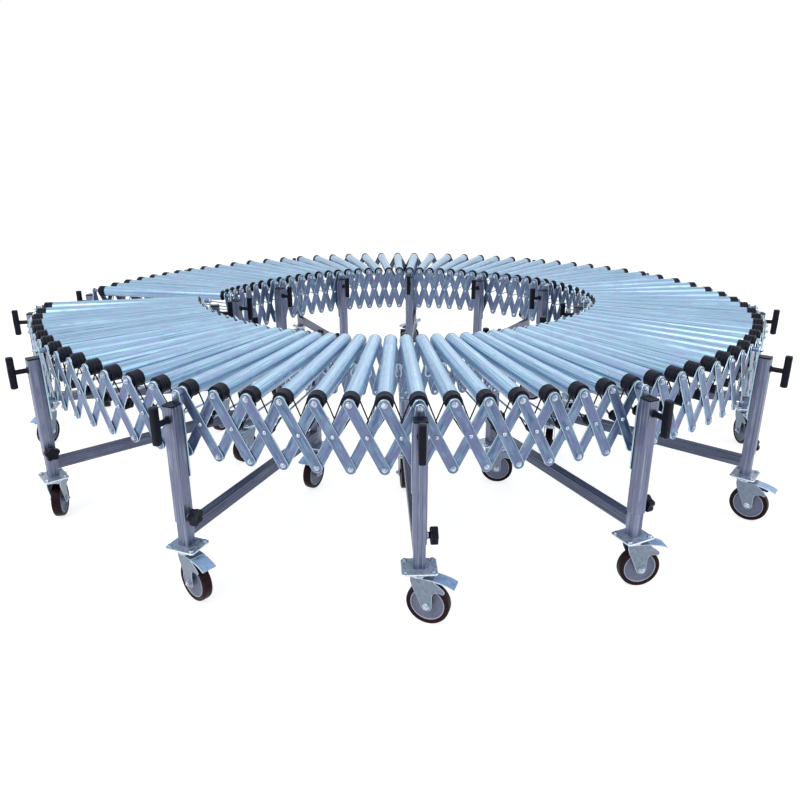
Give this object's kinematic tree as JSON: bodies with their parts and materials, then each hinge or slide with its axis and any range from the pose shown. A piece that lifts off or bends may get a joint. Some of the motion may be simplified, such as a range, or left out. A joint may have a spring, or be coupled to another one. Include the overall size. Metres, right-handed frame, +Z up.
{
  "type": "flexible roller conveyor",
  "caption": "Expanding roller conveyor on scissor-link side lattices, curved into a nearly closed ring, with height-adjustable stands on braked swivel casters.",
  "frame": {"origin": "centre of the ring's bounding box, on the floor that the casters stand on", "axes": "+Z up; +X along the ring's widest extent; -Y is the side with the loose module, which faces the picture's camera"},
  "size_m": [3.4976, 3.3119, 0.6816],
  "materials": {
    "galvanised_steel": "bright galvanised",
    "zinc_steel": "zinc plated, satin",
    "grooved_aluminium": "satin extrusion with fine grooves",
    "black_plastic": "moulded, satin",
    "tyre": "worn rubber tread on a grey hub",
    "brake_pedal": "zinc plated, ribbed",
    "drive_belt": "matt round belt"
  },
  "bodies": {
    "base_04": {"lower_frame_04": "grooved_aluminium"},
    "module_04": {"outer_lattice": "zinc_steel", "inner_lattice": "zinc_steel", "post_outer": "grooved_aluminium", "post_inner": "grooved_aluminium", "pull_handle_outer": "black_plastic", "pull_handle_inner": "black_plastic"},
    "module_01": {"deck_01": "galvanised_steel"},
    "base_01": {"lower_frame_01": "grooved_aluminium"},
    "module_02": {"deck_02": "galvanised_steel"},
    "base_02": {"lower_frame_02": "grooved_aluminium"},
    "module_03": {"deck_03": "galvanised_steel"},
    "base_03": {"lower_frame_03": "grooved_aluminium"},
    "module_05": {"deck_05": "galvanised_steel"},
    "base_05": {"lower_frame_05": "grooved_aluminium"},
    "module_06": {"deck_06": "galvanised_steel"},
    "base_06": {"lower_frame_06": "grooved_aluminium"},
    "module_07": {"deck_07": "galvanised_steel"},
    "base_07": {"lower_frame_07": "grooved_aluminium"},
    "module_08": {"deck_08": "galvanised_steel"},
    "base_08": {"lower_frame_08": "grooved_aluminium"},
    "module_09": {"deck_09": "galvanised_steel"},
    "base_09": {"lower_frame_09": "grooved_aluminium"},
    "module_10": {"deck_10": "galvanised_steel"},
    "base_10": {"lower_frame_10": "grooved_aluminium"},
    "module_11": {"deck_11": "galvanised_steel"},
    "base_11": {"lower_frame_11": "grooved_aluminium"},
    "module_12": {"deck_12": "galvanised_steel"},
    "base_12": {"lower_frame_12": "grooved_aluminium"},
    "module_13": {"deck_13": "galvanised_steel"},
    "base_13": {"lower_frame_13": "grooved_aluminium"},
    "roller_1": {"roller_1": "galvanised_steel"},
    "roller_2": {"roller_2": "galvanised_steel"},
    "roller_3": {"roller_3": "galvanised_steel"},
    "roller_4": {"roller_4": "galvanised_steel"},
    "roller_5": {"roller_5": "galvanised_steel"},
    "roller_6": {"roller_6": "galvanised_steel"},
    "roller_7": {"roller_7": "galvanised_steel"},
    "clamp_knob_outer": {"clamp_knob_outer": "black_plastic"},
    "clamp_knob_inner": {"clamp_knob_inner": "black_plastic"},
    "caster_04_outer": {"caster_fork_04_outer": "zinc_steel"},
    "wheel_04_outer": {"caster_wheel_04_outer": "tyre"},
    "brake_04_outer": {"brake_pedal_04_outer": "brake_pedal"},
    "caster_04_inner": {"caster_fork_04_inner": "zinc_steel"},
    "wheel_04_inner": {"caster_wheel_04_inner": "tyre"},
    "brake_04_inner": {"brake_pedal_04_inner": "brake_pedal"},
    "caster_01_outer": {"caster_fork_01_outer": "zinc_steel"},
    "wheel_01_outer": {"caster_wheel_01_outer": "tyre"},
    "caster_02_outer": {"caster_fork_02_outer": "zinc_steel"},
    "wheel_02_outer": {"caster_wheel_02_outer": "tyre"},
    "caster_03_outer": {"caster_fork_03_outer": "zinc_steel"},
    "wheel_03_outer": {"caster_wheel_03_outer": "tyre"},
    "caster_05_outer": {"caster_fork_05_outer": "zinc_steel"},
    "wheel_05_outer": {"caster_wheel_05_outer": "tyre"},
    "caster_06_outer": {"caster_fork_06_outer": "zinc_steel"},
    "wheel_06_outer": {"caster_wheel_06_outer": "tyre"},
    "caster_07_outer": {"caster_fork_07_outer": "zinc_steel"},
    "wheel_07_outer": {"caster_wheel_07_outer": "tyre"},
    "caster_13_outer": {"caster_fork_13_outer": "zinc_steel"},
    "wheel_13_outer": {"caster_wheel_13_outer": "tyre"}
  },
  "joints": [
    {"name": "height_04", "type": "slide", "parent": "base_04", "child": "module_04", "axis": [0, 0, 1], "range_m": [0, 0.25]},
    {"name": "flex_04_05", "type": "hinge", "parent": "module_04", "child": "module_05", "pos_m": [0.31898, -1.12985, 0.655], "axis": [0, 0, -1], "range_deg": [0, 3.29]},
    {"name": "flex_05_06", "type": "hinge", "parent": "module_05", "child": "module_06", "pos_m": [0.80054, -0.90151, 0.655], "axis": [0, 0, -1], "range_deg": [0, 3.44]},
    {"name": "flex_06_07", "type": "hinge", "parent": "module_06", "child": "module_07", "pos_m": [1.16592, -0.47629, 0.655], "axis": [0, 0, -1], "range_deg": [0, 4.42]},
    {"name": "flex_07_08", "type": "hinge", "parent": "module_07", "child": "module_08", "pos_m": [1.2651, 0.17008, 0.655], "axis": [0, 0, -1], "range_deg": [0, 5.41]},
    {"name": "flex_08_09", "type": "hinge", "parent": "module_08", "child": "module_09", "pos_m": [0.9463, 0.7711, 0.655], "axis": [0, 0, -1], "range_deg": [0, 4.31]},
    {"name": "flex_09_10", "type": "hinge", "parent": "module_09", "child": "module_10", "pos_m": [0.40724, 1.1032, 0.655], "axis": [0, 0, -1], "range_deg": [0, 4.09]},
    {"name": "flex_10_11", "type": "hinge", "parent": "module_10", "child": "module_11", "pos_m": [-0.216, 1.1454, 0.655], "axis": [0, 0, -1], "range_deg": [0, 4.37]},
    {"name": "flex_11_12", "type": "hinge", "parent": "module_11", "child": "module_12", "pos_m": [-0.77751, 0.84549, 0.655], "axis": [0, 0, -1], "range_deg": [0, 4.26]},
    {"name": "flex_12_13", "type": "hinge", "parent": "module_12", "child": "module_13", "pos_m": [-1.11621, 0.36651, 0.655], "axis": [0, 0, -1], "range_deg": [0, 3.16]},
    {"name": "flex_03_04", "type": "hinge", "parent": "module_04", "child": "module_03", "pos_m": [-0.21351, -1.15381, 0.655], "axis": [0, 0, 1], "range_deg": [0, 3.46]},
    {"name": "flex_02_03", "type": "hinge", "parent": "module_03", "child": "module_02", "pos_m": [-0.74378, -0.93338, 0.655], "axis": [0, 0, 1], "range_deg": [0, 3.88]},
    {"name": "flex_01_02", "type": "hinge", "parent": "module_02", "child": "module_01", "pos_m": [-1.15269, -0.4751, 0.655], "axis": [0, 0, 1], "range_deg": [0, 4.13]},
    {"name": "height_01", "type": "slide", "parent": "module_01", "child": "base_01", "axis": [0, 0, -1], "range_m": [0, 0.25]},
    {"name": "height_02", "type": "slide", "parent": "module_02", "child": "base_02", "axis": [0, 0, -1], "range_m": [0, 0.25]},
    {"name": "height_03", "type": "slide", "parent": "module_03", "child": "base_03", "axis": [0, 0, -1], "range_m": [0, 0.25]},
    {"name": "height_05", "type": "slide", "parent": "module_05", "child": "base_05", "axis": [0, 0, -1], "range_m": [0, 0.25]},
    {"name": "height_06", "type": "slide", "parent": "module_06", "child": "base_06", "axis": [0, 0, -1], "range_m": [0, 0.25]},
    {"name": "height_07", "type": "slide", "parent": "module_07", "child": "base_07", "axis": [0, 0, -1], "range_m": [0, 0.25]},
    {"name": "height_08", "type": "slide", "parent": "module_08", "child": "base_08", "axis": [0, 0, -1], "range_m": [0, 0.25]},
    {"name": "height_09", "type": "slide", "parent": "module_09", "child": "base_09", "axis": [0, 0, -1], "range_m": [0, 0.25]},
    {"name": "height_10", "type": "slide", "parent": "module_10", "child": "base_10", "axis": [0, 0, -1], "range_m": [0, 0.25]},
    {"name": "height_11", "type": "slide", "parent": "module_11", "child": "base_11", "axis": [0, 0, -1], "range_m": [0, 0.25]},
    {"name": "height_12", "type": "slide", "parent": "module_12", "child": "base_12", "axis": [0, 0, -1], "range_m": [0, 0.25]},
    {"name": "height_13", "type": "slide", "parent": "module_13", "child": "base_13", "axis": [0, 0, -1], "range_m": [0, 0.25]},
    {"name": "roller_1_spin", "type": "hinge", "parent": "module_04", "child": "roller_1", "pos_m": [-0.17528, -1.1592, 0.655], "axis": [-0.1249, -0.9922, 0], "continuous": true},
    {"name": "roller_2_spin", "type": "hinge", "parent": "module_04", "child": "roller_2", "pos_m": [-0.09888, -1.16657, 0.655], "axis": [-0.0672, -0.9977, 0], "continuous": true},
    {"name": "roller_3_spin", "type": "hinge", "parent": "module_04", "child": "roller_3", "pos_m": [-0.02241, -1.16956, 0.655], "axis": [-0.0113, -0.9999, 0], "continuous": true},
    {"name": "roller_4_spin", "type": "hinge", "parent": "module_04", "child": "roller_4", "pos_m": [0.05428, -1.16833, 0.655], "axis": [0.0431, -0.9991, 0], "continuous": true},
    {"name": "roller_5_spin", "type": "hinge", "parent": "module_04", "child": "roller_5", "pos_m": [0.13086, -1.1628, 0.655], "axis": [0.1011, -0.9949, 0], "continuous": true},
    {"name": "roller_6_spin", "type": "hinge", "parent": "module_04", "child": "roller_6", "pos_m": [0.20676, -1.15286, 0.655], "axis": [0.1584, -0.9874, 0], "continuous": true},
    {"name": "roller_7_spin", "type": "hinge", "parent": "module_04", "child": "roller_7", "pos_m": [0.28181, -1.13859, 0.655], "axis": [0.215, -0.9766, 0], "continuous": true},
    {"name": "clamp_knob_outer_turn", "type": "hinge", "parent": "module_04", "child": "clamp_knob_outer", "pos_m": [0.09171, -1.5719, 0.2803], "axis": [0.9991, 0.0431, 0], "range_deg": [0, 360]},
    {"name": "clamp_knob_inner_turn", "type": "hinge", "parent": "module_04", "child": "clamp_knob_inner", "pos_m": [0.05682, -0.76305, 0.2803], "axis": [0.9991, 0.0431, 0], "range_deg": [0, 360]},
    {"name": "caster_04_outer_swivel", "type": "hinge", "parent": "base_04", "child": "caster_04_outer", "pos_m": [0.07173, -1.57276, 0.173], "axis": [0, 0, 1], "continuous": true},
    {"name": "wheel_04_outer_spin", "type": "hinge", "parent": "caster_04_outer", "child": "wheel_04_outer", "pos_m": [0.09992, -1.58302, 0.066], "axis": [0.342, 0.9397, 0], "continuous": true},
    {"name": "brake_04_outer_press", "type": "hinge", "parent": "caster_04_outer", "child": "brake_04_outer", "pos_m": [0.11928, -1.59007, 0.1525], "axis": [0.342, 0.9397, 0], "range_deg": [0, 12]},
    {"name": "caster_04_inner_swivel", "type": "hinge", "parent": "base_04", "child": "caster_04_inner", "pos_m": [0.03684, -0.76391, 0.173], "axis": [0, 0, 1], "continuous": true},
    {"name": "wheel_04_inner_spin", "type": "hinge", "parent": "caster_04_inner", "child": "wheel_04_inner", "pos_m": [0.03422, -0.73403, 0.066], "axis": [-0.9962, -0.0872, 0], "continuous": true},
    {"name": "brake_04_inner_press", "type": "hinge", "parent": "caster_04_inner", "child": "brake_04_inner", "pos_m": [0.03243, -0.7135, 0.1525], "axis": [-0.9962, -0.0872, 0], "range_deg": [0, 12]},
    {"name": "caster_01_outer_swivel", "type": "hinge", "parent": "base_01", "child": "caster_01_outer", "pos_m": [-1.66703, -0.25844, 0.173], "axis": [0, 0, 1], "continuous": true},
    {"name": "wheel_01_outer_spin", "type": "hinge", "parent": "caster_01_outer", "child": "wheel_01_outer", "pos_m": [-1.67121, -0.28814, 0.066], "axis": [0.9903, -0.1392, 0], "continuous": true},
    {"name": "caster_02_outer_swivel", "type": "hinge", "parent": "base_02", "child": "caster_02_outer", "pos_m": [-1.27642, -0.99001, 0.173], "axis": [0, 0, 1], "continuous": true},
    {"name": "wheel_02_outer_spin", "type": "hinge", "parent": "caster_02_outer", "child": "wheel_02_outer", "pos_m": [-1.28317, -0.96078, 0.066], "axis": [-0.9744, -0.225, 0], "continuous": true},
    {"name": "caster_03_outer_swivel", "type": "hinge", "parent": "base_03", "child": "caster_03_outer", "pos_m": [-0.63336, -1.45553, 0.173], "axis": [0, 0, 1], "continuous": true},
    {"name": "wheel_03_outer_spin", "type": "hinge", "parent": "caster_03_outer", "child": "wheel_03_outer", "pos_m": [-0.61072, -1.47521, 0.066], "axis": [0.6561, 0.7547, 0], "continuous": true},
    {"name": "caster_05_outer_swivel", "type": "hinge", "parent": "base_05", "child": "caster_05_outer", "pos_m": [0.74473, -1.40469, 0.173], "axis": [0, 0, 1], "continuous": true},
    {"name": "wheel_05_outer_spin", "type": "hinge", "parent": "caster_05_outer", "child": "wheel_05_outer", "pos_m": [0.77457, -1.40156, 0.066], "axis": [-0.1045, 0.9945, 0], "continuous": true},
    {"name": "caster_06_outer_swivel", "type": "hinge", "parent": "base_06", "child": "caster_06_outer", "pos_m": [1.31153, -0.97419, 0.173], "axis": [0, 0, 1], "continuous": true},
    {"name": "wheel_06_outer_spin", "type": "hinge", "parent": "caster_06_outer", "child": "wheel_06_outer", "pos_m": [1.33451, -0.99347, 0.066], "axis": [0.6428, 0.766, 0], "continuous": true},
    {"name": "caster_07_outer_swivel", "type": "hinge", "parent": "base_07", "child": "caster_07_outer", "pos_m": [1.66659, -0.24972, 0.173], "axis": [0, 0, 1], "continuous": true},
    {"name": "wheel_07_outer_spin", "type": "hinge", "parent": "caster_07_outer", "child": "wheel_07_outer", "pos_m": [1.66606, -0.27971, 0.066], "axis": [0.9998, -0.0175, 0], "continuous": true},
    {"name": "caster_13_outer_swivel", "type": "hinge", "parent": "base_13", "child": "caster_13_outer", "pos_m": [-1.59909, 0.19408, 0.173], "axis": [0, 0, 1], "continuous": true},
    {"name": "wheel_13_outer_spin", "type": "hinge", "parent": "caster_13_outer", "child": "wheel_13_outer", "pos_m": [-1.60935, 0.22227, 0.066], "axis": [-0.9397, -0.342, 0], "continuous": true}
  ],
  "couplings": [
    {"joint": "height_01", "follows": "height_04", "ratio": 1},
    {"joint": "height_02", "follows": "height_04", "ratio": 1},
    {"joint": "height_03", "follows": "height_04", "ratio": 1},
    {"joint": "height_05", "follows": "height_04", "ratio": 1},
    {"joint": "height_06", "follows": "height_04", "ratio": 1},
    {"joint": "height_07", "follows": "height_04", "ratio": 1},
    {"joint": "height_08", "follows": "height_04", "ratio": 1},
    {"joint": "height_09", "follows": "height_04", "ratio": 1},
    {"joint": "height_10", "follows": "height_04", "ratio": 1},
    {"joint": "height_11", "follows": "height_04", "ratio": 1},
    {"joint": "height_12", "follows": "height_04", "ratio": 1},
    {"joint": "height_13", "follows": "height_04", "ratio": 1}
  ]
}
